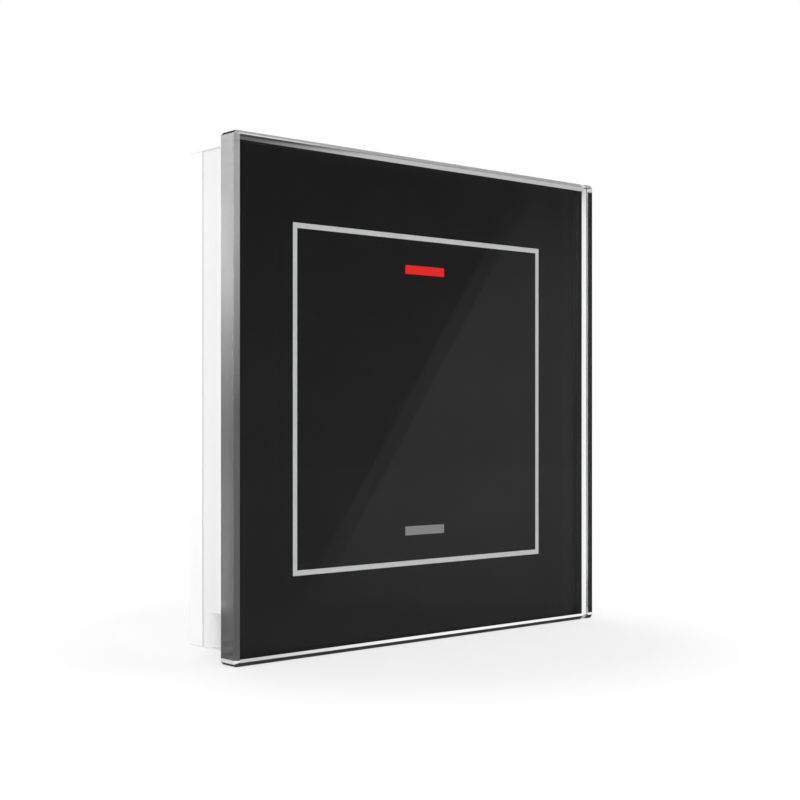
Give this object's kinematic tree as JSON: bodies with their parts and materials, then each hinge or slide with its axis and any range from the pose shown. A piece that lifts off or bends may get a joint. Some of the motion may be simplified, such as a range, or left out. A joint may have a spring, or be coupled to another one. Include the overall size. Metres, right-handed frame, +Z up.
{
  "type": "glass smart wall switch",
  "caption": "Square touch wall switch with a black-printed glass front that lifts off magnets, on a slim white housing and wall base with a rear bus terminal.",
  "frame": {"origin": "middle of the switch on the wall's face, which is also the middle of both box screw patterns", "axes": "+Y into the wall, +Z up, +X to the right as seen from the room; the glass faces -Y"},
  "size_m": [0.092, 0.0243, 0.092],
  "materials": {
    "clear_glass": "polished clear float glass",
    "black_enamel": "black enamel print seen through the glass",
    "silver_enamel": "matt silver print",
    "red_lit_window": "translucent red print, lit",
    "grey_window": "translucent grey print, not lit",
    "bonding_film": "double-sided film",
    "carrier_plastic": "fine spark-eroded texture",
    "nickel": "bright nickel plate",
    "white_plastic": "satin white, fine texture",
    "cover_plastic": "satin white, fine texture",
    "zinc_steel": "zinc plated",
    "board_laminate": "green solder mask",
    "chip_plastic": "moulded black",
    "button_plastic": "satin grey",
    "led_resin": "clear resin over phosphor",
    "clear_plastic": "clear moulding",
    "capacitor_ceramic": "fired, tinned ends",
    "tinned_brass": "tinned",
    "terminal_red": "satin red",
    "terminal_grey": "satin dark grey",
    "spring_steel": "bright spring steel",
    "diffuser_plastic": "milky diffusing",
    "shroud_plastic": "opaque black",
    "conductive_foam": "carbon-filled foam",
    "can_metal": "drawn can",
    "ferrite": "pressed ferrite",
    "capacitor_resin": "moulded amber resin"
  },
  "bodies": {
    "switch_body": {"board_screws": "zinc_steel", "bus_header": "chip_plastic", "bus_pins": "tinned_brass", "bus_transceiver": "chip_plastic", "ceramic_capacitors": "capacitor_ceramic", "chip_resistors": "chip_plastic", "choke": "ferrite", "circuit_board": "board_laminate", "crystal": "can_metal", "housing": "white_plastic", "housing_screws": "zinc_steel", "keeper_plates": "zinc_steel", "led_bottom": "led_resin", "led_top": "led_resin", "light_guide_bottom": "diffuser_plastic", "light_guide_top": "diffuser_plastic", "light_shroud_bottom": "shroud_plastic", "light_shroud_top": "shroud_plastic", "microcontroller": "chip_plastic", "programming_led": "led_resin", "programming_light_pipe": "clear_plastic", "programming_switch": "chip_plastic", "protection_diode": "chip_plastic", "rear_cover": "cover_plastic", "rear_cover_screws": "zinc_steel", "regulator": "chip_plastic", "storage_capacitors": "capacitor_resin", "touch_controller": "chip_plastic", "touch_pad_bottom": "conductive_foam", "touch_pad_top": "conductive_foam", "wall_base": "white_plastic"},
    "glass_front": {"glass_panel": "clear_glass", "black_print": "black_enamel", "outline_print": "silver_enamel", "light_window_top": "red_lit_window", "light_window_bottom": "grey_window", "adhesive_sheet": "bonding_film", "front_carrier": "carrier_plastic", "holding_magnets": "nickel"},
    "programming_key": {"programming_button": "button_plastic"},
    "bus_terminal": {"bus_terminal_red": "terminal_red", "bus_terminal_grey": "terminal_grey", "terminal_clamps": "spring_steel"}
  },
  "joints": [
    {"name": "glass_front_lift", "type": "slide", "parent": "switch_body", "child": "glass_front", "axis": [0, -1, 0], "range_m": [0, 0.025]},
    {"name": "programming_key_press", "type": "slide", "parent": "switch_body", "child": "programming_key", "axis": [0, 1, 0], "range_m": [0, 0.00025], "stiffness_N_per_m": 800, "springref_m": -0.001},
    {"name": "bus_terminal_pull", "type": "slide", "parent": "switch_body", "child": "bus_terminal", "axis": [0, 1, 0], "range_m": [0, 0.008]}
  ]
}
